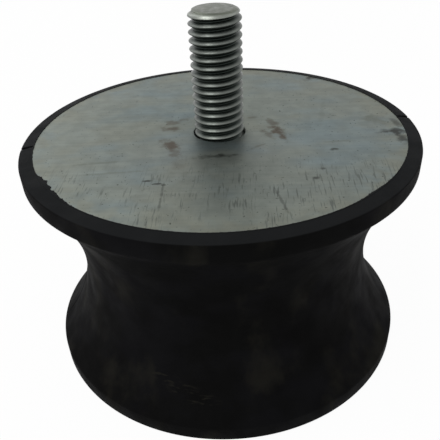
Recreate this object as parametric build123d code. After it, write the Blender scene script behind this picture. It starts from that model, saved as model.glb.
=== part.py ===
from build123d import *
import math
import os

# Waisted rubber bobbin mount, male / female: a rubber body bonded between two round steel plates,
# a headed stud through the top plate and a tapped blind bush in the bottom plate.
# Millimetres. +Z is up along the stud. The origin is the centre of the bottom face.

# ---------------------------------------------------------------- rubber body
FLANGE_DIAMETER = 80.0      # over the two rubber rims
BODY_HEIGHT = 48.4          # from the bottom plate's face to the top plate's face
WAIST_DIAMETER = 63.0       # at mid height, the thinnest place
LIP_WIDTH = 2.7             # rubber ring left showing round each plate's face
LIP_DROP = 0.4              # how far the lip's outer corner lies behind the plate's face
RIM_WALL = 3.4              # upright band of each rim, below the lip

# ---------------------------------------------------------------- mould nicks in the lips
NICK_WIDTH = 1.2
NICK_DEPTH = 1.3            # below the plate's face
PARTING_ANGLE = 5.0         # of the mould's parting plane, degrees from +X
NICKS_PER_LIP = 2

# ---------------------------------------------------------------- plates
PLATE_THICKNESS = 3.0

# ---------------------------------------------------------------- stud, M10 x 1.5
STUD_DIAMETER = 10.0
STUD_REACH = 23.5           # beyond the top plate's face
STUD_END_CHAMFER = 0.9
STUD_NECK_DIAMETER = 8.2    # run-out neck, below the thread's root
STUD_THREAD_START = 0.4     # height of the first full thread above the top plate's face
STUD_HEAD_DIAMETER = 20.0
STUD_HEAD_THICKNESS = 4.0
STUD_HOLE_CLEARANCE = 0.5   # radial gap between the stud and the plate's hole

# ---------------------------------------------------------------- bush, tapped M10 x 1.5
BUSH_DIAMETER = 15.0        # barrel, also the spigot in the plate's hole
BUSH_LENGTH = 14.0          # from the bottom plate's face
BUSH_COLLAR_DIAMETER = 20.0
BUSH_COLLAR_THICKNESS = 2.0
BUSH_HOLE_CLEARANCE = 0.1   # radial gap between the spigot and the plate's hole
TAPPING_DIAMETER = 8.5
TAPPED_DEPTH = 11.0         # from the bottom face, full diameter
MOUTH_CHAMFER = 0.9
DRILL_POINT_ANGLE = 118.0   # included angle at the blind end

# ---------------------------------------------------------------- worked out from the sizes above
FLANGE_RADIUS = FLANGE_DIAMETER / 2
PLATE_RADIUS = FLANGE_RADIUS - LIP_WIDTH
STUD_RADIUS = STUD_DIAMETER / 2
BUSH_RADIUS = BUSH_DIAMETER / 2
TOP_PLATE_BACK = BODY_HEIGHT - PLATE_THICKNESS
RIM_INNER_EDGE = LIP_DROP + RIM_WALL


def turned(half_section: Sketch) -> Part:
    """Spin a half section, drawn with radius along X and height along Y, about the centre line."""
    return revolve(Plane.XZ * half_section, Axis.Z)


def disc(radius: float, bottom: float, thickness: float) -> Part:
    """A plain round blank that starts at a height."""
    return Pos(0, 0, bottom) * extrude(Circle(radius), thickness)


def plate(bottom: float, hole_radius: float) -> Part:
    """One punched steel plate with its centre hole."""
    return disc(PLATE_RADIUS, bottom, PLATE_THICKNESS) - disc(hole_radius, bottom, PLATE_THICKNESS)


def headed_stud() -> Part:
    """The stud: a flat round head behind the top plate, a neck in its hole and a chamfered shank."""
    head_radius = STUD_HEAD_DIAMETER / 2
    neck_radius = STUD_NECK_DIAMETER / 2
    shank_start = BODY_HEIGHT + STUD_THREAD_START
    tip = BODY_HEIGHT + STUD_REACH
    outline = Polyline(
        (0, TOP_PLATE_BACK - STUD_HEAD_THICKNESS),
        (head_radius, TOP_PLATE_BACK - STUD_HEAD_THICKNESS),
        (head_radius, TOP_PLATE_BACK),
        (neck_radius, TOP_PLATE_BACK),
        (neck_radius, shank_start),
        (STUD_RADIUS, shank_start),
        (STUD_RADIUS, tip - STUD_END_CHAMFER),
        (STUD_RADIUS - STUD_END_CHAMFER, tip),
        (0, tip),
        close=True,
    )
    return turned(make_face(outline))


def bush_blank() -> Part:
    """The bush before drilling: spigot in the plate, collar behind it and a blind barrel."""
    collar_radius = BUSH_COLLAR_DIAMETER / 2
    collar_back = PLATE_THICKNESS + BUSH_COLLAR_THICKNESS
    outline = Polyline(
        (0, 0),
        (BUSH_RADIUS, 0),
        (BUSH_RADIUS, PLATE_THICKNESS),
        (collar_radius, PLATE_THICKNESS),
        (collar_radius, collar_back),
        (BUSH_RADIUS, collar_back),
        (BUSH_RADIUS, BUSH_LENGTH),
        (0, BUSH_LENGTH),
        close=True,
    )
    return turned(make_face(outline))


def tapping_hole() -> Part:
    """The drilled hole: chamfered mouth, straight bore at the tapping size and drill point."""
    radius = TAPPING_DIAMETER / 2
    point_depth = radius / math.tan(math.radians(DRILL_POINT_ANGLE / 2))
    outline = Polyline(
        (0, 0),
        (radius + MOUTH_CHAMFER, 0),
        (radius, MOUTH_CHAMFER),
        (radius, TAPPED_DEPTH),
        (0, TAPPED_DEPTH + point_depth),
        close=True,
    )
    return turned(make_face(outline))


def moulding() -> Part:
    """The outer shape of the rubber: two rims, each with its lip, and a waist of one hollow arc."""
    waist_radius = WAIST_DIAMETER / 2
    lower_rim = Polyline(
        (0, 0),
        (PLATE_RADIUS, 0),
        (FLANGE_RADIUS, LIP_DROP),
        (FLANGE_RADIUS, RIM_INNER_EDGE),
    )
    waist = ThreePointArc(
        (FLANGE_RADIUS, RIM_INNER_EDGE),
        (waist_radius, BODY_HEIGHT / 2),
        (FLANGE_RADIUS, BODY_HEIGHT - RIM_INNER_EDGE),
    )
    upper_rim = Polyline(
        (FLANGE_RADIUS, BODY_HEIGHT - RIM_INNER_EDGE),
        (FLANGE_RADIUS, BODY_HEIGHT - LIP_DROP),
        (PLATE_RADIUS, BODY_HEIGHT),
        (0, BODY_HEIGHT),
        (0, 0),
    )
    return turned(make_face(lower_rim + waist + upper_rim))


def lip_nicks() -> list[Part]:
    """The slots that the mould's parting plane leaves across each lip, as deep as the nick is."""
    slot = Box(LIP_WIDTH * 2, NICK_WIDTH, NICK_DEPTH * 2)
    places = PolarLocations(FLANGE_RADIUS, NICKS_PER_LIP, start_angle=PARTING_ANGLE)
    return [Pos(0, 0, face) * place * slot for face in (0, BODY_HEIGHT) for place in places]


def rubber_body() -> Part:
    """The moulding with the seats that the plates, the stud's head and the bush leave in it."""
    body = moulding()
    body -= disc(PLATE_RADIUS, 0, PLATE_THICKNESS)
    body -= disc(PLATE_RADIUS, TOP_PLATE_BACK, PLATE_THICKNESS)
    body -= headed_stud()
    body -= bush_blank()
    return body - lip_nicks()


def threaded_bush() -> Part:
    """The finished bush, drilled to its tapping size."""
    return bush_blank() - tapping_hole()


nodes = {
    "rubber_body": rubber_body(),
    "top_plate": plate(TOP_PLATE_BACK, STUD_RADIUS + STUD_HOLE_CLEARANCE),
    "bottom_plate": plate(0, BUSH_RADIUS + BUSH_HOLE_CLEARANCE),
    "stud": headed_stud(),
    "threaded_bush": threaded_bush(),
}

os.makedirs("parts", exist_ok=True)
for name, solid in nodes.items():
    export_step(solid, f"parts/{name}.step")
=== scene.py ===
"""Looks of a waisted rubber bobbin mount with a threaded stud above and a tapped bush below.

Lengths are in metres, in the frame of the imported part: +Z is up along the stud and the origin is the
centre of the bottom face. Sizes that the frame doesn't give are fields of the class that uses them.
"""

import logging
import math
from dataclasses import dataclass
from enum import Enum

import bmesh
import bpy
from mathutils import Matrix, Vector, noise

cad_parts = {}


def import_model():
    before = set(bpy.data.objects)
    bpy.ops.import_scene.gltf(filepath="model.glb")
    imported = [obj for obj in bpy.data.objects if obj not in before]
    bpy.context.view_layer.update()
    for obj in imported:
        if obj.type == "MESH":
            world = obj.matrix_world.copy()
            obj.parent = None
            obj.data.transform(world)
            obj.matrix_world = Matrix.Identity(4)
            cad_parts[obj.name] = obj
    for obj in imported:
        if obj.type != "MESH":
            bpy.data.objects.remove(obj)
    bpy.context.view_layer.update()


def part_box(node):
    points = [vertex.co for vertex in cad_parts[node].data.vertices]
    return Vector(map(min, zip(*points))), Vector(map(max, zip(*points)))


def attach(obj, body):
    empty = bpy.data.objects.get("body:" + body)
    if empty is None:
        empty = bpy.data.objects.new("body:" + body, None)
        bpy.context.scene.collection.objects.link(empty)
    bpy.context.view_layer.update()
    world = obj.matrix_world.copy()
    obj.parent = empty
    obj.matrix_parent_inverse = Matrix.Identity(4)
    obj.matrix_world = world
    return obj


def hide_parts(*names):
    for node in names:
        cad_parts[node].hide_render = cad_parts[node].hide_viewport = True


MM = 0.001
ROOT_BODY = "root"
LOG = logging.getLogger("bobbin_mount")

Colour = tuple[float, float, float, float]
Point = tuple[float, float]


def shade(red: float, green: float, blue: float) -> Colour:
    """Turn a display colour into the linear one that shaders work in.

    Args:
        red: Red, from 0 to 255.
        green: Green, from 0 to 255.
        blue: Blue, from 0 to 255.

    Returns:
        The linear colour with full alpha.
    """
    levels = (level / 255 for level in (red, green, blue))
    linear = (x / 12.92 if x <= 0.04045 else ((x + 0.055) / 1.055) ** 2.4 for x in levels)
    return (*linear, 1.0)


class Slot(Enum):
    """The record's material slots."""

    RUBBER = "rubber"
    PLATE = "plate_steel"
    STUD = "stud_steel"
    BUSH = "bush_steel"


class Stain(Enum):
    """The kinds of mark that handling and moulding leave on the zinc, and the dark of a painted reflection."""

    RUST = shade(68, 60, 49)
    # also the colour of the painted reflection in front of the stud
    SMEAR_AND_PAINTED_REFLECTION = shade(34, 36, 32)
    SCUFF = shade(92, 97, 90)


# ------------------------------------------------------------------------------ shader graphs


class Graph:
    """A material's node tree around one Principled shader, with its pattern measured in millimetres."""

    def __init__(self, name: str) -> None:
        """Start an empty material.

        Args:
            name: The material's name.
        """
        self.material = bpy.data.materials.new(name)
        self.material.use_nodes = True
        self.tree = self.material.node_tree
        self.tree.nodes.clear()
        output = self.node("ShaderNodeOutputMaterial")
        self.shader = self.node("ShaderNodeBsdfPrincipled")
        self.tree.links.new(self.shader.outputs["BSDF"], output.inputs["Surface"])
        coordinates = self.node("ShaderNodeTexCoord")
        self.place = self.vector("SCALE", coordinates.outputs["Object"], scale=1 / MM)

    def node(self, kind: str, **settings: object) -> bpy.types.Node:
        """Add a node and set its properties.

        Args:
            kind: The node's type name.
            **settings: Its properties, by name.

        Returns:
            The new node.
        """
        made = self.tree.nodes.new(kind)
        for name, value in settings.items():
            setattr(made, name, value)
        return made

    def feed(self, socket: bpy.types.NodeSocket, value: object) -> None:
        """Link a socket to another one's output, or set its value.

        Args:
            socket: The input.
            value: An output socket, or the constant to set.
        """
        if isinstance(value, bpy.types.NodeSocket):
            self.tree.links.new(value, socket)
        else:
            socket.default_value = value

    def vector(
        self, operation: str, first: object, second: object = None, scale: float = 1.0
    ) -> bpy.types.NodeSocket:
        """Do vector arithmetic.

        Args:
            operation: The Vector Math node's operation.
            first: The first vector.
            second: The second vector, if the operation has one.
            scale: The factor of the SCALE operation.

        Returns:
            The resulting vector, or the number that LENGTH gives.
        """
        made = self.node("ShaderNodeVectorMath", operation=operation)
        self.feed(made.inputs[0], first)
        if second is not None:
            self.feed(made.inputs[1], second)
        if operation == "SCALE":
            made.inputs["Scale"].default_value = scale
        return made.outputs["Value" if operation == "LENGTH" else "Vector"]

    def math(self, operation: str, first: object, second: object = 0.0) -> bpy.types.NodeSocket:
        """Do arithmetic on numbers.

        Args:
            operation: The Math node's operation.
            first: The first number.
            second: The second number.

        Returns:
            The result.
        """
        made = self.node("ShaderNodeMath", operation=operation)
        self.feed(made.inputs[0], first)
        self.feed(made.inputs[1], second)
        return made.outputs[0]

    def step(
        self, value: object, start: float, end: float, low: float = 0.0, high: float = 1.0
    ) -> bpy.types.NodeSocket:
        """Go smoothly from one value to another while the input passes from start to end.

        Args:
            value: The input.
            start: The input at which the result leaves low.
            end: The input at which the result reaches high.
            low: The first result.
            high: The second result.

        Returns:
            The result.
        """
        made = self.node("ShaderNodeMapRange", interpolation_type="SMOOTHSTEP", clamp=True)
        limits = (("From Min", start), ("From Max", end), ("To Min", low), ("To Max", high))
        for name, given in (("Value", value), *limits):
            self.feed(made.inputs[name], given)
        return made.outputs["Result"]

    def mix(self, factor: object, first: object, second: object) -> bpy.types.NodeSocket:
        """Mix two colours.

        Args:
            factor: How much of the second colour, from 0 to 1.
            first: The first colour.
            second: The second colour.

        Returns:
            The mixed colour.
        """
        made = self.node("ShaderNodeMix", data_type="RGBA")
        factor_input, first_input, second_input = made.inputs[0], made.inputs[6], made.inputs[7]
        self.feed(factor_input, factor)
        self.feed(first_input, first)
        self.feed(second_input, second)
        return made.outputs[2]

    def mapped(
        self, offset: tuple[float, ...], turn: float, stretch: tuple[float, float, float]
    ) -> bpy.types.NodeSocket:
        """Give the pattern's place as seen from a centre, turned and divided by a size.

        Args:
            offset: The centre, in millimetres, at height 0 if it has only two numbers.
            turn: The turn about the centre line, in degrees.
            stretch: The size that becomes 1 along each axis, in millimetres.

        Returns:
            The place in that frame.
        """
        made = self.node("ShaderNodeMapping", vector_type="TEXTURE")
        self.feed(made.inputs["Vector"], self.place)
        made.inputs["Location"].default_value = (*offset, 0.0)[:3]
        made.inputs["Rotation"].default_value = (0.0, 0.0, math.radians(turn))
        made.inputs["Scale"].default_value = stretch
        return made.outputs["Vector"]

    def clouds(
        self, grain: tuple[float, float, float], detail: float = 3.0, turn: float = 0.0, seed: float = 0.0
    ) -> bpy.types.NodeSocket:
        """Make noise whose blotches have a given size along each axis.

        Args:
            grain: The blotches' size, in millimetres.
            detail: The noise's octaves.
            turn: The turn of the grain, in degrees.
            seed: A shift that makes this noise unlike the others.

        Returns:
            Noise from 0 to 1, mostly near a half.
        """
        made = self.node("ShaderNodeTexNoise")
        self.feed(made.inputs["Vector"], self.mapped((seed, -seed), turn, grain))
        made.inputs["Scale"].default_value = 1.0
        made.inputs["Detail"].default_value = detail
        made.inputs["Roughness"].default_value = 0.55
        return made.outputs[0]

    def bump(self, height: object, depth: float, under: object = None) -> bpy.types.NodeSocket:
        """Turn a height into a normal.

        Args:
            height: The height, from 0 to 1.
            depth: What a height of 1 stands for, in metres.
            under: A normal to build on.

        Returns:
            The normal.
        """
        made = self.node("ShaderNodeBump")
        made.inputs["Strength"].default_value = 1.0
        made.inputs["Distance"].default_value = depth
        self.feed(made.inputs["Height"], height)
        if under is not None:
            self.feed(made.inputs["Normal"], under)
        return made.outputs["Normal"]

    def set(self, **values: object) -> None:
        """Set or link inputs of the Principled shader.

        Args:
            **values: Each input by its name, with an underscore for each space.
        """
        for name, value in values.items():
            self.feed(self.shader.inputs[name.replace("_", " ")], value)


# ------------------------------------------------------------------------------ finishes


@dataclass(frozen=True)
class Mark:
    """One stain, scuff or painted reflection on a plate's face, as an oval with a ragged edge, in millimetres and
    degrees.
    """

    at: Point
    length: float
    width: float
    turn: float
    kind: Stain
    strength: float = 0.8

    def cover(self, graph: Graph, rag: bpy.types.NodeSocket) -> bpy.types.NodeSocket:
        """Say how much of this mark lies at each place.

        Args:
            graph: The material's graph.
            rag: Noise that makes the edge uneven.

        Returns:
            The cover, from 0 to the mark's strength.
        """
        size = (self.length / 2, self.width / 2, 1000.0)
        distance = graph.vector("LENGTH", graph.mapped(self.at, self.turn, size))
        return graph.step(graph.math("ADD", distance, rag), 1.6, 0.2, 0.0, self.strength)


@dataclass(frozen=True)
class ZincPlateFinish:
    """Dull zinc on rolled sheet: cloudy passivation, rolling grain, fine strokes and the marks on one face."""

    name: str
    marks: tuple[Mark, ...] = ()
    grey: Colour = shade(112, 118, 112)
    blue: Colour = shade(101, 116, 121)
    straw: Colour = shade(115, 117, 106)
    stroke: Colour = shade(78, 83, 79)
    rim_start: float = 29.0
    rim_end: float = 37.0
    roughness: float = 0.52

    def build(self) -> bpy.types.Material:
        """Make the material.

        Returns:
            The material.
        """
        graph = Graph(self.name)
        colour = self._passivation(graph)
        colour, grain = self._grain(graph, colour)
        colour, strokes = self._strokes(graph, colour)
        colour = self._stains_and_painted_reflection(graph, colour)
        patches = graph.math("MULTIPLY", graph.clouds((9, 9, 9), seed=41), 0.16)
        rough = graph.math("ADD", patches, self.roughness - 0.08)
        relief = graph.math("ADD", graph.math("MULTIPLY", grain, 0.5), graph.math("MULTIPLY", strokes, -0.5))
        graph.set(Base_Color=colour, Metallic=1.0, Roughness=rough, Normal=graph.bump(relief, 0.012 * MM))
        return graph.material

    def _passivation(self, graph: Graph) -> bpy.types.NodeSocket:
        """Blend grey, blue and straw in soft clouds, with more straw near the rim.

        Args:
            graph: The material's graph.

        Returns:
            The colour.
        """
        clouds = graph.step(graph.clouds((26, 15, 20), seed=3), 0.42, 0.64)
        colour = graph.mix(graph.math("MULTIPLY", clouds, 0.6), self.grey, self.blue)
        straw = graph.step(graph.clouds((17, 12, 12), seed=17), 0.5, 0.66, 0.0, 0.4)
        colour = graph.mix(straw, colour, self.straw)
        radius = graph.vector("LENGTH", graph.vector("MULTIPLY", graph.place, (1.0, 1.0, 0.0)))
        rim = graph.step(radius, self.rim_start, self.rim_end, 0.0, 0.75)
        patches = graph.step(graph.clouds((6, 6, 6), seed=29), 0.35, 0.6)
        return graph.mix(graph.math("MULTIPLY", rim, patches), colour, self.straw)

    def _grain(
        self, graph: Graph, colour: bpy.types.NodeSocket
    ) -> tuple[bpy.types.NodeSocket, bpy.types.NodeSocket]:
        """Add the sheet's rolling grain along X.

        Args:
            graph: The material's graph.
            colour: The colour so far.

        Returns:
            The colour and the grain.
        """
        grain = graph.clouds((38, 0.8, 4), detail=4.0, turn=-2.0, seed=7)
        light = graph.step(grain, 0.36, 0.66, 0.955, 1.03)
        tinted = graph.vector("SCALE", colour)
        graph.feed(tinted.node.inputs["Scale"], light)
        mottle = graph.step(graph.clouds((3.0, 3.0, 3.0), detail=6.0, seed=53), 0.34, 0.68, 0.91, 1.07)
        mottled = graph.vector("SCALE", tinted)
        graph.feed(mottled.node.inputs["Scale"], mottle)
        return mottled, grain

    def _strokes(
        self, graph: Graph, colour: bpy.types.NodeSocket
    ) -> tuple[bpy.types.NodeSocket, bpy.types.NodeSocket]:
        """Add fine dark strokes across the grain on the half towards -Y.

        Args:
            graph: The material's graph.
            colour: The colour so far.

        Returns:
            The colour and the strokes.
        """
        across = graph.node("ShaderNodeSeparateXYZ")
        graph.feed(across.inputs[0], graph.place)
        front = graph.step(across.outputs["Y"], -9.0, -24.0)
        fine = graph.step(graph.clouds((0.36, 4.5, 3), detail=2.0, turn=-3.0, seed=71), 0.55, 0.66)
        patch = graph.step(graph.clouds((6, 8, 9), seed=83), 0.38, 0.56)
        strokes = graph.math("MULTIPLY", graph.math("MULTIPLY", fine, front), patch)
        return graph.mix(graph.math("MULTIPLY", strokes, 0.8), colour, self.stroke), strokes

    def _stains_and_painted_reflection(self, graph: Graph, colour: bpy.types.NodeSocket) -> bpy.types.NodeSocket:
        """Lay the face's marks, among them a painted reflection of the stud, and some specks of dirt over the
        colour.

        Args:
            graph: The material's graph.
            colour: The colour so far.

        Returns:
            The colour.
        """
        rag = graph.step(graph.clouds((1.6, 1.6, 1.6), detail=5.0, seed=97), 0.28, 0.72, -0.6, 0.6)
        for mark in self.marks:
            colour = graph.mix(mark.cover(graph, rag), colour, mark.kind.value)
        specks = graph.step(graph.clouds((0.55, 0.5, 0.5), detail=1.0, seed=113), 0.7, 0.76, 0.0, 0.8)
        return graph.mix(specks, colour, Stain.SMEAR_AND_PAINTED_REFLECTION.value)


@dataclass(frozen=True)
class ThreadFinish:
    """Zinc on a rolled or cut thread: bright crests, painted shade in the roots and a painted highlight on the
    chamfered end.
    """

    name: str
    root_radius: float
    crest_radius: float
    # above this height the turned end's colours replace the painted root shade
    turned_end_above: float
    crest: Colour = shade(104, 108, 104)
    # painted shade: the dark root colour stands in for the shade in the thread's grooves
    root: Colour = shade(46, 52, 49)
    turned: Colour = shade(95, 99, 90)
    # painted highlight: this light colour on the chamfer's shoulder stands in for a lamp's reflection; on the bush
    # it colours the outer metal
    outer_metal_and_painted_highlight: Colour = shade(136, 140, 134)
    roughness: float = 0.36

    def build(self) -> bpy.types.Material:
        """Make the material.

        Returns:
            The material.
        """
        graph = Graph(self.name)
        radius = graph.vector("LENGTH", graph.vector("MULTIPLY", graph.place, (1.0, 1.0, 0.0)))
        drag = graph.math("MULTIPLY", graph.clouds((1.2, 1.2, 0.5), detail=4.0, seed=11), 0.3)
        # painted shade: the colour darkens towards the thread's roots
        depth = graph.step(graph.math("ADD", radius, drag), self.root_radius + 0.4, self.crest_radius + 0.1)
        colour = graph.mix(depth, self.root, self.crest)
        along = graph.node("ShaderNodeSeparateXYZ")
        graph.feed(along.inputs[0], graph.place)
        end = graph.step(along.outputs["Z"], self.turned_end_above, self.turned_end_above + 0.25)
        # painted highlight: the light colour on the chamfer's shoulder
        shoulder = graph.step(radius, self.crest_radius - 0.75, self.crest_radius - 0.35)
        colour = graph.mix(end, colour, graph.mix(shoulder, self.turned, self.outer_metal_and_painted_highlight))
        worn = graph.step(graph.clouds((2.4, 2.4, 0.4), detail=4.0, seed=23), 0.35, 0.7, 0.86, 1.08)
        tinted = graph.vector("SCALE", colour)
        graph.feed(tinted.node.inputs["Scale"], worn)
        wear = graph.clouds((0.8, 0.8, 0.3), seed=31)
        rough = graph.step(wear, 0.3, 0.7, self.roughness - 0.06, self.roughness + 0.1)
        relief = graph.clouds((0.35, 0.35, 0.12), detail=3.0, seed=43)
        graph.set(Base_Color=tinted, Metallic=1.0, Roughness=rough, Normal=graph.bump(relief, 0.01 * MM))
        return graph.material


@dataclass(frozen=True)
class RubberFinish:
    """Moulded carbon-black rubber: matt, with faint bloom and dust in places and a painted sheen on the top lip."""

    name: str
    black: Colour = shade(10, 10, 10)
    bloom: Colour = shade(15, 15, 17)
    dust: Colour = shade(30, 29, 25)
    # painted sheen: the top lip's lighter colour stands in for the light its upward face catches
    lip: Colour = shade(25, 26, 27)
    painted_sheen_above: float = 47.9
    roughness: float = 0.7
    index: float = 1.1
    scuffs: tuple[tuple[float, float, float], ...] = ((-9.5, -34.0, 9.5), (-13.5, -33.0, 11.0), (-5.5, -35.0, 8.0))

    def build(self) -> bpy.types.Material:
        """Make the material.

        Returns:
            The material.
        """
        graph = Graph(self.name)
        bloom = graph.step(graph.clouds((14, 14, 9), seed=5), 0.4, 0.66, 0.0, 0.7)
        colour = graph.mix(bloom, self.black, self.bloom)
        dust = graph.step(graph.clouds((9, 9, 14), detail=5.0, seed=19), 0.52, 0.72, 0.0, 0.6)
        colour = graph.mix(dust, colour, self.dust)
        along = graph.node("ShaderNodeSeparateXYZ")
        graph.feed(along.inputs[0], graph.place)
        # painted sheen: lighten the top lip above a height
        colour = graph.mix(graph.step(along.outputs["Z"], self.painted_sheen_above, self.painted_sheen_above + 0.12), colour, self.lip)
        colour = self._scuffed(graph, colour)
        patches = graph.clouds((5, 5, 5), detail=4.0, seed=37)
        rough = graph.step(patches, 0.3, 0.7, self.roughness - 0.07, self.roughness + 0.1)
        grain = graph.bump(graph.clouds((0.3, 0.3, 0.3), detail=3.0, seed=59), 0.02 * MM)
        flow = graph.bump(graph.clouds((7, 7, 4), detail=2.0, seed=67), 0.15 * MM, grain)
        graph.set(Base_Color=colour, Roughness=rough, IOR=self.index, Normal=flow)
        return graph.material

    def _scuffed(self, graph: Graph, colour: bpy.types.NodeSocket) -> bpy.types.NodeSocket:
        """Lay faint pale scuffs, broken into short level strokes, over the colour.

        Args:
            graph: The material's graph.
            colour: The colour so far.

        Returns:
            The colour.
        """
        strokes = graph.step(graph.clouds((2.6, 2.6, 0.45), detail=3.0, seed=101), 0.52, 0.64)
        for centre in self.scuffs:
            distance = graph.vector("LENGTH", graph.mapped(centre, 0.0, (3.6, 6.0, 1.3)))
            cover = graph.math("MULTIPLY", graph.step(distance, 1.2, 0.3, 0.0, 0.8), strokes)
            colour = graph.mix(cover, colour, self.dust)
        return colour


# ------------------------------------------------------------------------------ mesh helpers


def turned(profile: list[Point], steps: int, closed: bool = True) -> bmesh.types.BMesh:
    """Spin a half section about the centre line.

    Args:
        profile: The section's corners as radius and height.
        steps: How many faces the full turn has.
        closed: Whether the last corner joins the first.

    Returns:
        The turned mesh.
    """
    mesh = bmesh.new()
    corners = [mesh.verts.new((radius, 0.0, height)) for radius, height in profile]
    pairs = list(zip(corners, corners[1:]))
    if closed:
        pairs.append((corners[-1], corners[0]))
    edges = [mesh.edges.new(pair) for pair in pairs if max(end.co.x for end in pair) > 0]
    bmesh.ops.spin(
        mesh,
        geom=corners + edges,
        cent=(0, 0, 0),
        axis=(0, 0, 1),
        dvec=(0, 0, 0),
        angle=math.tau,
        steps=steps,
        use_merge=True,
        use_duplicate=False,
    )
    bmesh.ops.remove_doubles(mesh, verts=mesh.verts, dist=MM * 1e-4)
    bmesh.ops.recalc_face_normals(mesh, faces=mesh.faces)
    return mesh


def soften_ring(mesh: bmesh.types.BMesh, corner: Point, size: float, segments: int = 3) -> None:
    """Round the circular edge that a corner of the section became.

    Args:
        mesh: The turned mesh.
        corner: The corner's radius and height.
        size: The rounding.
        segments: How many faces the rounding has.
    """
    near = MM * 1e-2
    ring = [
        edge
        for edge in mesh.edges
        if all(abs(end.co.xy.length - corner[0]) < near and abs(end.co.z - corner[1]) < near for end in edge.verts)
    ]
    bmesh.ops.bevel(
        mesh,
        geom=ring,
        offset=size,
        offset_type="OFFSET",
        segments=segments,
        profile=0.5,
        affect="EDGES",
        material=-1,
    )


def piece_from(mesh: bmesh.types.BMesh, name: str) -> bpy.types.Object:
    """Turn a bmesh into an object at the origin, smooth but for its sharp edges.

    Args:
        mesh: The mesh, which is freed.
        name: The object's name.

    Returns:
        The object.
    """
    data = bpy.data.meshes.new(name)
    mesh.to_mesh(data)
    mesh.free()
    piece = bpy.data.objects.new(name, data)
    bpy.context.scene.collection.objects.link(piece)
    smooth(piece)
    return piece


def smooth(piece: bpy.types.Object, sharp_above: float = 32.0) -> None:
    """Shade a piece smooth but for its sharp edges.

    Args:
        piece: The piece.
        sharp_above: The angle above which an edge is sharp, in degrees.
    """
    piece.data.polygons.foreach_set("use_smooth", [True] * len(piece.data.polygons))
    piece.data.set_sharp_from_angle(angle=math.radians(sharp_above))


def combine(piece: bpy.types.Object, tool: bpy.types.Object, operation: str) -> None:
    """Cut, trim or join a piece with a tool, and remove the tool.

    Args:
        piece: The piece, whose mesh is replaced.
        tool: The other solid.
        operation: DIFFERENCE, INTERSECT or UNION.
    """
    modifier = piece.modifiers.new("combine", "BOOLEAN")
    modifier.operation = operation
    modifier.solver = "EXACT"
    modifier.object = tool
    evaluated = piece.evaluated_get(bpy.context.evaluated_depsgraph_get())
    data = bpy.data.meshes.new_from_object(evaluated)
    piece.modifiers.clear()
    piece.data = data
    bpy.data.objects.remove(tool)
    smooth(piece)


def dress(piece: bpy.types.Object, material: bpy.types.Material, slot: Slot, *nodes: str) -> bpy.types.Object:
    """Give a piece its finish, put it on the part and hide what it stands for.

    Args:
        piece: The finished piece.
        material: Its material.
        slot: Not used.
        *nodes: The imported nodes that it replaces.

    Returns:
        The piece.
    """
    piece.data.materials.clear()
    piece.data.materials.append(material)
    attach(piece, ROOT_BODY)
    if nodes:
        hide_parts(*nodes)
    return piece


# ------------------------------------------------------------------------------ sub-assemblies


@dataclass
class Layout:
    """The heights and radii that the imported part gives."""

    rim_radius: float
    height: float
    plate_radius: float
    plate_thickness: float
    stud_tip: float
    head_radius: float
    head_back: float
    bush_length: float
    collar_radius: float

    @classmethod
    def from_frame(cls) -> "Layout":
        """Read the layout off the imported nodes' boxes.

        Returns:
            The layout.
        """
        rubber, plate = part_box("rubber_body")[1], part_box("bottom_plate")[1]
        stud_low, stud_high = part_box("stud")
        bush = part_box("threaded_bush")[1]
        return cls(
            rim_radius=rubber.x,
            height=rubber.z,
            plate_radius=plate.x,
            plate_thickness=plate.z,
            stud_tip=stud_high.z,
            head_radius=stud_high.x,
            head_back=stud_low.z,
            bush_length=bush.z,
            collar_radius=bush.x,
        )


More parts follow.
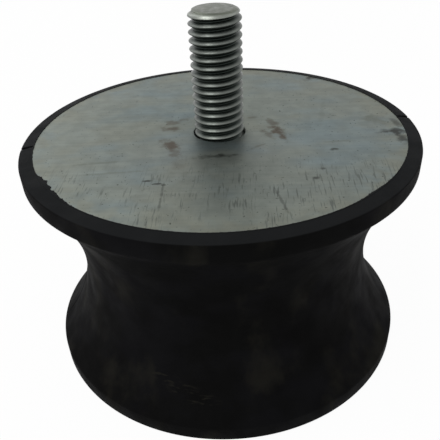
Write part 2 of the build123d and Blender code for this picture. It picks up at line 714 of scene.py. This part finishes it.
@dataclass
class RubberBody:
    """The moulding between the plates, with its lips, nicks, parting line and flash."""

    layout: Layout
    finish: RubberFinish
    waist_radius: float = 31.5 * MM
    lip_drop: float = 0.4 * MM
    rim_wall: float = 3.4 * MM
    edge_rounding: float = 0.3 * MM
    collar_thickness: float = 2.0 * MM
    bush_radius: float = 7.5 * MM
    parting_angle: float = 5.5
    parting_height: float = 0.1 * MM
    parting_half_width: float = 0.25 * MM
    rim_margin: float = 0.4 * MM
    nick_width: float = 1.25 * MM
    nick_depth: float = 1.3 * MM
    waist_points: int = 40
    steps: int = 288

    def build(self) -> list[bpy.types.Object]:
        """Make the moulding and its flash.

        Returns:
            The two pieces.
        """
        material = self.finish.build()
        body = piece_from(self._moulding(), "rubber_moulding")
        for face in (0.0, self.layout.height):
            for angle in (self.parting_angle, self.parting_angle + 180):
                combine(body, self._nick_cutter(angle, face), "DIFFERENCE")
        flash = piece_from(self._flash(), "rubber_flash")
        return [dress(body, material, Slot.RUBBER, "rubber_body"), dress(flash, material, Slot.RUBBER)]

    def _waist(self) -> list[Point]:
        """Give the waist's hollow arc from the lower rim to the upper one.

        Returns:
            The arc's points, as radius and height.
        """
        half = self.layout.height / 2 - self.lip_drop - self.rim_wall
        depth = self.layout.rim_radius - self.waist_radius
        arc_radius = (half**2 + depth**2) / (2 * depth)
        centre = self.waist_radius + arc_radius
        reach = math.asin(half / arc_radius)
        angles = (reach * (2 * i / self.waist_points - 1) for i in range(self.waist_points + 1))
        return [
            (centre - arc_radius * math.cos(angle), self.layout.height / 2 + arc_radius * math.sin(angle))
            for angle in angles
        ]

    def _moulding(self) -> bmesh.types.BMesh:
        """Spin the rubber's section, round its rims and raise its parting line.

        Returns:
            The moulding.
        """
        lay = self.layout
        collar_back = lay.plate_thickness + self.collar_thickness
        plate_back = lay.height - lay.plate_thickness
        lips = [(lay.rim_radius, self.lip_drop), (lay.rim_radius, lay.height - self.lip_drop)]
        waist = self._waist()
        profile = [
            (0.0, lay.bush_length),
            (self.bush_radius, lay.bush_length),
            (self.bush_radius, collar_back),
            (lay.collar_radius, collar_back),
            (lay.collar_radius, lay.plate_thickness),
            (lay.plate_radius, lay.plate_thickness),
            (lay.plate_radius, 0.0),
            lips[0],
            *waist,
            lips[1],
            (lay.plate_radius, lay.height),
            (lay.plate_radius, plate_back),
            (lay.head_radius, plate_back),
            (lay.head_radius, lay.head_back),
            (0.0, lay.head_back),
        ]
        mesh = turned(profile, self.steps)
        for corner in (lips[0], waist[0], waist[-1], lips[1]):
            soften_ring(mesh, corner, self.edge_rounding)
        self._raise_parting_line(mesh)
        return mesh

    def _raise_parting_line(self, mesh: bmesh.types.BMesh) -> None:
        """Cut loops along the parting plane and lift the middle one off the waist.

        Args:
            mesh: The moulding.
        """
        normal = Matrix.Rotation(math.radians(self.parting_angle), 3, "Z") @ Vector((0, 1, 0))
        for side in (-1, 0, 1):
            bmesh.ops.bisect_plane(
                mesh,
                geom=mesh.verts[:] + mesh.edges[:] + mesh.faces[:],
                dist=MM * 1e-3,
                plane_co=normal * self.parting_half_width * side,
                plane_no=normal,
            )
        margin = self.lip_drop + self.edge_rounding
        lowest, highest = margin, self.layout.height - margin
        for vert in mesh.verts:
            outside = vert.co.xy.length > self.waist_radius - MM * 0.1
            if outside and lowest < vert.co.z < highest and abs(vert.co.dot(normal)) < MM * 2e-3:
                on_rim = self.layout.rim_radius - self.rim_margin < vert.co.xy.length
                lift = 0.0 if on_rim else self.parting_height
                vert.co.xy += vert.co.xy.normalized() * lift

    def _nick_cutter(self, angle: float, face: float) -> bpy.types.Object:
        """Make a wedge that cuts one nick across a lip, narrower towards the plate.

        Args:
            angle: Where the nick lies, in degrees.
            face: The height of the face that it is cut from.

        Returns:
            The cutter.
        """
        lay = self.layout
        mesh = bmesh.new()
        bmesh.ops.create_cube(mesh, size=1.0)
        length = (lay.rim_radius - lay.plate_radius) * 1.5
        bmesh.ops.scale(mesh, verts=mesh.verts, vec=(length, self.nick_width, self.nick_depth * 2))
        inner = [vert for vert in mesh.verts if vert.co.x < 0]
        bmesh.ops.scale(mesh, verts=inner, vec=(1.0, 0.55, 0.8))
        bmesh.ops.translate(mesh, verts=mesh.verts, vec=(lay.plate_radius + length / 2, 0, face))
        bmesh.ops.rotate(mesh, verts=mesh.verts, cent=(0, 0, 0), matrix=Matrix.Rotation(math.radians(angle), 3, "Z"))
        return piece_from(mesh, "nick_cutter")

    def _flash(self) -> bmesh.types.BMesh:
        """Make the ragged skin of rubber that crept over the top plate's edge.

        Returns:
            The skin.
        """
        lay = self.layout
        film, bury = 0.1 * MM, 0.25 * MM
        profile = [
            (lay.plate_radius + bury, lay.height - bury),
            (lay.plate_radius + bury, lay.height - bury / 2),
            (lay.plate_radius, lay.height + film),
            (lay.plate_radius - film / 2, lay.height + film),
            (lay.plate_radius - film / 2, lay.height + film * 0.1),
        ]
        mesh = turned(profile, 1440)
        for vert in mesh.verts:
            if vert.co.xy.length < lay.plate_radius - film / 4:
                angle = math.degrees(math.atan2(vert.co.y, vert.co.x))
                vert.co.xy *= 1 - self._creep(angle) / lay.plate_radius
        return mesh

    def _creep(self, angle: float) -> float:
        """Say how far the flash reaches over the plate at an angle.

        Args:
            angle: The direction from the centre, in degrees.

        Returns:
            The reach, in metres.
        """
        tongues = (
            (-150.4, 3.0, 0.95),
            (-146.0, 2.4, 0.7),
            (-141.6, 2.0, 0.75),
            (-137.0, 3.0, 0.35),
            (-47.0, 5.0, 0.3),
        )
        around = Vector((math.cos(math.radians(angle)), math.sin(math.radians(angle)), 0))
        ragged = noise.noise(around * 60) + 0.6 * noise.noise(around * 170)
        reach = 0.06 + 0.12 * max(0.0, ragged)
        for centre, half_width, height in tongues:
            reach += height * math.exp(-(((angle - centre) / half_width) ** 2)) * (0.85 + 0.5 * ragged)
        return max(0.0, reach) * MM


@dataclass
class PunchedPlate:
    """One of the steel discs, with its centre hole's edge drawn in by the punch."""

    layout: Layout
    finish: ZincPlateFinish
    node: str
    bottom: float
    hole_radius: float
    hole_rounding: float = 0.12 * MM
    steps: int = 192

    def build(self) -> bpy.types.Object:
        """Make the plate.

        Returns:
            The plate.
        """
        top = self.bottom + self.layout.plate_thickness
        corners = [
            (self.hole_radius, self.bottom),
            (self.layout.plate_radius, self.bottom),
            (self.layout.plate_radius, top),
            (self.hole_radius, top),
        ]
        mesh = turned(corners, self.steps)
        for corner in (corners[0], corners[3]):
            soften_ring(mesh, corner, self.hole_rounding)
        return dress(piece_from(mesh, f"{self.node}_zinc"), self.finish.build(), Slot.PLATE, self.node)


@dataclass
class MetricThread:
    """A right-handed M10 x 1.5 thread form, and the rods that are cut to it."""

    crest_radius: float = 5.0 * MM
    root_radius: float = 4.1 * MM
    pitch: float = 1.5 * MM
    crest_flat: float = 0.1 * MM
    root_flat: float = 0.12 * MM
    steps: int = 96

    def rod(self, start: float, end: float, lead: float, name: str, grow: float = 0.0) -> bpy.types.Object:
        """Make a closed threaded rod between two heights.

        Args:
            start: The lower end's height.
            end: The upper end's height.
            lead: The height of a crest at the angle that faces +X.
            name: The rod's name.
            grow: How much is added to every radius.

        Returns:
            The rod.
        """
        below = math.ceil((lead - start) / self.pitch) + 1
        turns = math.ceil((end - start) / self.pitch) + 3
        first = lead - below * self.pitch
        mesh = bmesh.new()
        verts = [mesh.verts.new((radius + grow, 0.0, first + height)) for radius, height in self._section(turns)]
        edges = [mesh.edges.new(pair) for pair in zip(verts, verts[1:])]
        bmesh.ops.spin(
            mesh,
            geom=verts + edges,
            cent=(0, 0, 0),
            axis=(0, 0, 1),
            dvec=(0, 0, self.pitch / self.steps),
            angle=math.tau,
            steps=self.steps,
            use_merge=False,
            use_duplicate=False,
        )
        bmesh.ops.remove_doubles(mesh, verts=mesh.verts, dist=MM * 1e-3)
        for height, outward in ((start, -1), (end, 1)):
            self._trim(mesh, height, outward)
        bmesh.ops.recalc_face_normals(mesh, faces=mesh.faces)
        return piece_from(mesh, name)

    def _section(self, turns: int) -> list[Point]:
        """Give the thread's outline, from a crest upwards.

        Args:
            turns: How many turns it covers.

        Returns:
            The outline's points, as radius and height.
        """
        half_crest, half_root = self.crest_flat / 2, self.root_flat / 2
        soft = 0.09 * MM
        one_turn = [
            (self.crest_radius, 0.0),
            (self.crest_radius - 0.012 * MM, half_crest),
            (self.crest_radius - 0.07 * MM, half_crest + soft),
            (self.root_radius + 0.09 * MM, self.pitch / 2 - half_root - soft),
            (self.root_radius + 0.015 * MM, self.pitch / 2 - half_root),
            (self.root_radius, self.pitch / 2),
            (self.root_radius + 0.015 * MM, self.pitch / 2 + half_root),
            (self.root_radius + 0.09 * MM, self.pitch / 2 + half_root + soft),
            (self.crest_radius - 0.07 * MM, self.pitch - half_crest - soft),
            (self.crest_radius - 0.012 * MM, self.pitch - half_crest),
        ]
        outline = [(radius, height + turn * self.pitch) for turn in range(turns) for radius, height in one_turn]
        return [*outline, (self.crest_radius, turns * self.pitch)]

    def _trim(self, mesh: bmesh.types.BMesh, height: float, outward: int) -> None:
        """Cut the rod off flat at a height and close the cut.

        Args:
            mesh: The open helical tube.
            height: Where the cut lies.
            outward: 1 to remove what is above, -1 to remove what is below.
        """
        made = bmesh.ops.bisect_plane(
            mesh,
            geom=mesh.verts[:] + mesh.edges[:] + mesh.faces[:],
            dist=MM * 1e-4,
            plane_co=(0, 0, height),
            plane_no=(0, 0, outward),
            clear_outer=True,
        )
        rim = [element for element in made["geom_cut"] if isinstance(element, bmesh.types.BMEdge)]
        bmesh.ops.contextual_create(mesh, geom=rim)


@dataclass
class Stud:
    """The headed stud, threaded from inside the plate's hole to its chamfered end."""

    layout: Layout
    thread: MetricThread
    finish: ThreadFinish
    neck_radius: float = 4.1 * MM
    thread_start: float = -1.8 * MM
    end_chamfer: float = 0.9 * MM
    crest_over_face: float = 0.78 * MM
    steps: int = 96

    def build(self) -> bpy.types.Object:
        """Make the stud.

        Returns:
            The stud.
        """
        lay = self.layout
        face = lay.height + self.thread_start
        shank = self.thread.rod(face, lay.stud_tip, lay.height + self.crest_over_face, "stud_thread")
        combine(shank, self._end_form(face), "INTERSECT")
        combine(shank, self._head(face), "UNION")
        return dress(shank, self.finish.build(), Slot.STUD, "stud")

    def _end_form(self, face: float) -> bpy.types.Object:
        """Make the chamfered bar that the thread's end is turned to.

        Args:
            face: The height at which the thread starts.

        Returns:
            The bar.
        """
        radius, tip = self.thread.crest_radius + 0.01 * MM, self.layout.stud_tip
        profile = [
            (0.0, face - self.thread.pitch),
            (radius, face - self.thread.pitch),
            (radius, tip - self.end_chamfer * 1.35),
            (radius - self.end_chamfer * 0.2, tip - self.end_chamfer * 0.8),
            (radius - self.end_chamfer * 0.6, tip - self.end_chamfer * 0.32),
            (radius - self.end_chamfer * 1.15, tip - 0.03 * MM),
            (radius - self.end_chamfer * 1.6, tip),
            (0.0, tip),
        ]
        return piece_from(turned(profile, self.steps), "end_form")

    def _head(self, face: float) -> bpy.types.Object:
        """Make the head and the neck, which reaches a little into the thread.

        Args:
            face: The height at which the thread starts.

        Returns:
            The head with its neck.
        """
        lay = self.layout
        plate_back = lay.height - lay.plate_thickness
        profile = [
            (0.0, lay.head_back),
            (lay.head_radius, lay.head_back),
            (lay.head_radius, plate_back),
            (self.neck_radius - 0.02 * MM, plate_back),
            (self.neck_radius - 0.02 * MM, face + 0.2 * MM),
            (0.0, face + 0.2 * MM),
        ]
        return piece_from(turned(profile, self.steps), "stud_head")


@dataclass
class ThreadedBush:
    """The bush in the bottom plate, with its blind tapped hole."""

    layout: Layout
    thread: MetricThread
    finish: ThreadFinish
    barrel_radius: float = 7.5 * MM
    collar_thickness: float = 2.0 * MM
    drill_radius: float = 4.25 * MM
    drill_depth: float = 11.0 * MM
    thread_depth: float = 9.6 * MM
    mouth_chamfer: float = 0.9 * MM
    point_angle: float = 118.0
    steps: int = 96

    def build(self) -> bpy.types.Object:
        """Make the bush.

        Returns:
            The bush.
        """
        bush = piece_from(self._blank(), "threaded_bush_turned")
        tap = self.thread.rod(-self.thread.pitch, self.thread_depth, 0.0, "tap", grow=0.02 * MM)
        combine(bush, tap, "DIFFERENCE")
        return dress(bush, self.finish.build(), Slot.BUSH, "threaded_bush")

    def _blank(self) -> bmesh.types.BMesh:
        """Spin the bush's section with its drilled and chamfered hole.

        Returns:
            The blank.
        """
        lay = self.layout
        collar_back = lay.plate_thickness + self.collar_thickness
        point = self.drill_radius / math.tan(math.radians(self.point_angle / 2))
        return turned(
            [
                (self.drill_radius + self.mouth_chamfer, 0.0),
                (self.barrel_radius, 0.0),
                (self.barrel_radius, lay.plate_thickness),
                (lay.collar_radius, lay.plate_thickness),
                (lay.collar_radius, collar_back),
                (self.barrel_radius, collar_back),
                (self.barrel_radius, lay.bush_length),
                (0.0, lay.bush_length),
                (0.0, self.drill_depth + point),
                (self.drill_radius, self.drill_depth),
                (self.drill_radius, self.mouth_chamfer),
            ],
            self.steps,
        )


# ------------------------------------------------------------------------------ studio


@dataclass
class Lamp:
    """A soft rectangular lamp that looks at the mount."""

    name: str
    at: tuple[float, float, float]
    side: float
    power: float
    tint: tuple[float, float, float] = (1.0, 1.0, 1.0)

    def build(self, target: Vector) -> None:
        """Hang the lamp.

        Args:
            target: The point that it faces.
        """
        data = bpy.data.lights.new(self.name, "AREA")
        data.shape = "SQUARE"
        data.size = self.side
        data.energy = self.power
        data.color = self.tint
        lamp = bpy.data.objects.new(self.name, data)
        bpy.context.scene.collection.objects.link(lamp)
        lamp.location = self.at
        lamp.rotation_euler = (target - Vector(self.at)).to_track_quat("-Z", "Y").to_euler()


@dataclass
class Studio:
    """White surroundings, soft lamps and the camera."""

    layout: Layout
    sky: float = 0.62
    floor_size: float = 6.0
    floor_gap: float = 0.05 * MM
    floor_glow: float = 0.96
    camera_at: tuple[float, float, float] = (0.41 * MM, -108.99 * MM, 48.54 * MM)
    camera_tilt: float = 37.37
    camera_roll: float = 2.46
    lens: float = 46.47
    sensor: float = 36.0
    shift: tuple[float, float] = (-0.0168, 0.1032)

    def build(self) -> None:
        """Set the world, the floor, the lamps and the camera."""
        scene = bpy.context.scene
        scene.view_settings.view_transform = "Standard"
        self._world(scene)
        self._floor()
        target = Vector((0, 0, self.layout.height * 0.7))
        for lamp in (
            Lamp("key", (-0.34, -0.3, 0.62), 0.45, 2.2, (1.0, 0.995, 0.98)),
            Lamp("back", (-0.4, 0.5, 0.55), 0.6, 0.9, (0.98, 0.99, 1.0)),
        ):
            lamp.build(target)
        self._camera(scene)

    def _seen(self, tree: bpy.types.NodeTree) -> bpy.types.NodeSocket:
        """Tell rays from the camera, a mirror or glass from those that only carry light.

        Args:
            tree: The node tree that uses it.

        Returns:
            1 for the former, 0 for the latter.
        """
        path = tree.nodes.new("ShaderNodeLightPath")
        seen = path.outputs["Is Camera Ray"]
        for name in ("Is Glossy Ray", "Is Transmission Ray"):
            either = tree.nodes.new("ShaderNodeMath")
            either.operation = "MAXIMUM"
            tree.links.new(seen, either.inputs[0])
            tree.links.new(path.outputs[name], either.inputs[1])
            seen = either.outputs[0]
        return seen

    def _world(self, scene: bpy.types.Scene) -> None:
        """Light the mount evenly, and show plain white behind it.

        Args:
            scene: The scene.
        """
        world = bpy.data.worlds.new("studio")
        scene.world = world
        world.use_nodes = True
        tree = world.node_tree
        tree.nodes.clear()
        output = tree.nodes.new("ShaderNodeOutputWorld")
        mixer = tree.nodes.new("ShaderNodeMixShader")
        tree.links.new(self._seen(tree), mixer.inputs[0])
        for number, strength in ((1, self.sky), (2, 1.0)):
            background = tree.nodes.new("ShaderNodeBackground")
            background.inputs["Color"].default_value = (1, 1, 1, 1)
            background.inputs["Strength"].default_value = strength
            tree.links.new(background.outputs[0], mixer.inputs[number])
        tree.links.new(mixer.outputs[0], output.inputs["Surface"])

    def _floor(self) -> None:
        """Lay a white floor that keeps a soft shadow."""
        mesh = bmesh.new()
        bmesh.ops.create_grid(mesh, x_segments=1, y_segments=1, size=self.floor_size / 2)
        bmesh.ops.translate(mesh, verts=mesh.verts, vec=(0, 0, -self.floor_gap))
        floor = piece_from(mesh, "floor")
        material = bpy.data.materials.new("floor_white")
        material.use_nodes = True
        tree = material.node_tree
        tree.nodes.clear()
        output = tree.nodes.new("ShaderNodeOutputMaterial")
        paper = tree.nodes.new("ShaderNodeBsdfDiffuse")
        paper.inputs["Color"].default_value = (0.88, 0.88, 0.88, 1)
        glow = tree.nodes.new("ShaderNodeEmission")
        glow.inputs["Strength"].default_value = 1.0
        share = tree.nodes.new("ShaderNodeMath")
        share.operation = "MULTIPLY"
        share.inputs[1].default_value = self.floor_glow
        tree.links.new(self._seen(tree), share.inputs[0])
        mixer = tree.nodes.new("ShaderNodeMixShader")
        tree.links.new(share.outputs[0], mixer.inputs[0])
        tree.links.new(paper.outputs[0], mixer.inputs[1])
        tree.links.new(glow.outputs[0], mixer.inputs[2])
        tree.links.new(mixer.outputs[0], output.inputs["Surface"])
        floor.data.materials.append(material)

    def _camera(self, scene: bpy.types.Scene) -> None:
        """Place the camera before and above the top face, tilted down and slightly rolled.

        Args:
            scene: The scene.
        """
        data = bpy.data.cameras.new("camera")
        data.sensor_width = self.sensor
        data.lens = self.lens
        data.shift_x, data.shift_y = self.shift
        data.clip_start, data.clip_end = 0.005, 20.0
        camera = bpy.data.objects.new("camera", data)
        scene.collection.objects.link(camera)
        place = Vector(self.camera_at) + Vector((0, 0, self.layout.height))
        tilt = Matrix.Rotation(math.radians(90 - self.camera_tilt), 4, "X")
        roll = Matrix.Rotation(math.radians(-self.camera_roll), 4, "Z")
        camera.matrix_world = Matrix.Translation(place) @ tilt @ roll
        scene.camera = camera


# ------------------------------------------------------------------------------ the mount


TOP_FACE_MARKS = (
    Mark((22.9, 28.6), 3.4, 1.9, 35, Stain.SMEAR_AND_PAINTED_REFLECTION, 0.95),
    Mark((25.6, 26.8), 3.6, 0.9, -30, Stain.SMEAR_AND_PAINTED_REFLECTION, 0.6),
    Mark((-9.8, -5.6), 4.6, 2.8, -48, Stain.RUST, 0.9),
    Mark((-8.7, -8.6), 6.5, 2.6, -75, Stain.RUST, 0.5),
    Mark((-8.0, -13.8), 8.5, 3.0, -80, Stain.RUST, 0.22),
    Mark((-10.1, 1.9), 2.8, 2.0, 10, Stain.RUST, 0.75),
    Mark((-10.1, 5.0), 2.4, 2.0, 0, Stain.RUST, 0.55),
    Mark((-7.9, 6.3), 2.8, 1.5, 30, Stain.RUST, 0.5),
    Mark((11.9, -2.0), 5.8, 2.2, -72, Stain.RUST, 1.0),
    Mark((10.9, 2.6), 5.6, 1.8, -74, Stain.RUST, 0.6),
    Mark((9.6, -2.4), 5.2, 1.1, -62, Stain.RUST, 0.5),
    Mark((7.0, 6.0), 1.6, 1.0, 0, Stain.RUST, 0.4),
    Mark((7.4, -7.9), 3.4, 0.9, 35, Stain.RUST, 0.5),
    # painted reflection: a dark line in front of the stud stands in for the stud's reflection in the plate
    Mark((-0.8, -11.4), 8.2, 1.3, 2, Stain.SMEAR_AND_PAINTED_REFLECTION, 0.8),
    Mark((34.9, -4.0), 3.6, 2.6, -20, Stain.SMEAR_AND_PAINTED_REFLECTION, 0.9),
    Mark((35.5, -6.9), 5.2, 2.0, -75, Stain.SMEAR_AND_PAINTED_REFLECTION, 0.8),
    Mark((36.3, 0.3), 5.6, 1.5, -80, Stain.SMEAR_AND_PAINTED_REFLECTION, 0.6),
    Mark((33.0, -4.0), 4.0, 0.8, 5, Stain.SMEAR_AND_PAINTED_REFLECTION, 0.5),
    Mark((32.2, 2.6), 5.2, 3.2, -50, Stain.SCUFF, 0.8),
    Mark((-13.1, -19.9), 1.6, 0.6, 5, Stain.SMEAR_AND_PAINTED_REFLECTION, 0.95),
    Mark((-11.2, -21.1), 1.2, 0.45, 0, Stain.SMEAR_AND_PAINTED_REFLECTION, 0.8),
    Mark((-10.1, -21.6), 0.7, 0.45, 0, Stain.SMEAR_AND_PAINTED_REFLECTION, 0.7),
    Mark((21.6, -10.5), 1.1, 1.0, 0, Stain.SMEAR_AND_PAINTED_REFLECTION, 0.8),
    Mark((18.4, -18.1), 0.9, 0.6, 0, Stain.SMEAR_AND_PAINTED_REFLECTION, 0.6),
    Mark((16.6, -21.4), 0.9, 0.7, 0, Stain.SMEAR_AND_PAINTED_REFLECTION, 0.7),
    Mark((-22.6, -12.3), 9.0, 0.8, 4, Stain.SCUFF, 0.7),
    Mark((-19.0, -16.4), 12.0, 0.7, 3, Stain.SCUFF, 0.55),
    Mark((22.6, 9.5), 16.0, 1.0, 78, Stain.SCUFF, 0.3),
    Mark((23.0, -7.2), 6.0, 0.7, 4, Stain.SCUFF, 0.5),
    Mark((9.8, -28.5), 9.5, 0.45, -79, Stain.SMEAR_AND_PAINTED_REFLECTION, 0.45),
    Mark((-10.3, -27.0), 9.0, 0.4, 88, Stain.SMEAR_AND_PAINTED_REFLECTION, 0.45),
)


def main() -> None:
    """Build the mount's pieces in order, then the studio round them."""
    logging.basicConfig(level=logging.INFO, format="%(name)s: %(message)s")
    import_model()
    layout = Layout.from_frame()
    thread = MetricThread()
    turned_end_start = (layout.stud_tip / MM) - 1.0
    bright = ThreadFinish("stud_zinc", root_radius=4.1, crest_radius=5.0, turned_end_above=turned_end_start)
    cut = ThreadFinish("bush_zinc", root_radius=4.1, crest_radius=5.0, turned_end_above=-1.0)
    top_finish = ZincPlateFinish("top_plate_zinc", marks=TOP_FACE_MARKS)
    bottom_finish = ZincPlateFinish("bottom_plate_zinc")
    plate_back = layout.height - layout.plate_thickness
    pieces = [
        *RubberBody(layout, RubberFinish("moulded_rubber")).build(),
        PunchedPlate(layout, top_finish, "top_plate", plate_back, 5.2 * MM, 0.3 * MM).build(),
        PunchedPlate(layout, bottom_finish, "bottom_plate", 0.0, 7.6 * MM).build(),
        Stud(layout, thread, bright).build(),
        ThreadedBush(layout, thread, cut).build(),
    ]
    for piece in pieces:
        LOG.info("%s: %d faces", piece.name, len(piece.data.polygons))
    Studio(layout).build()


if __name__ == "__main__":
    main()
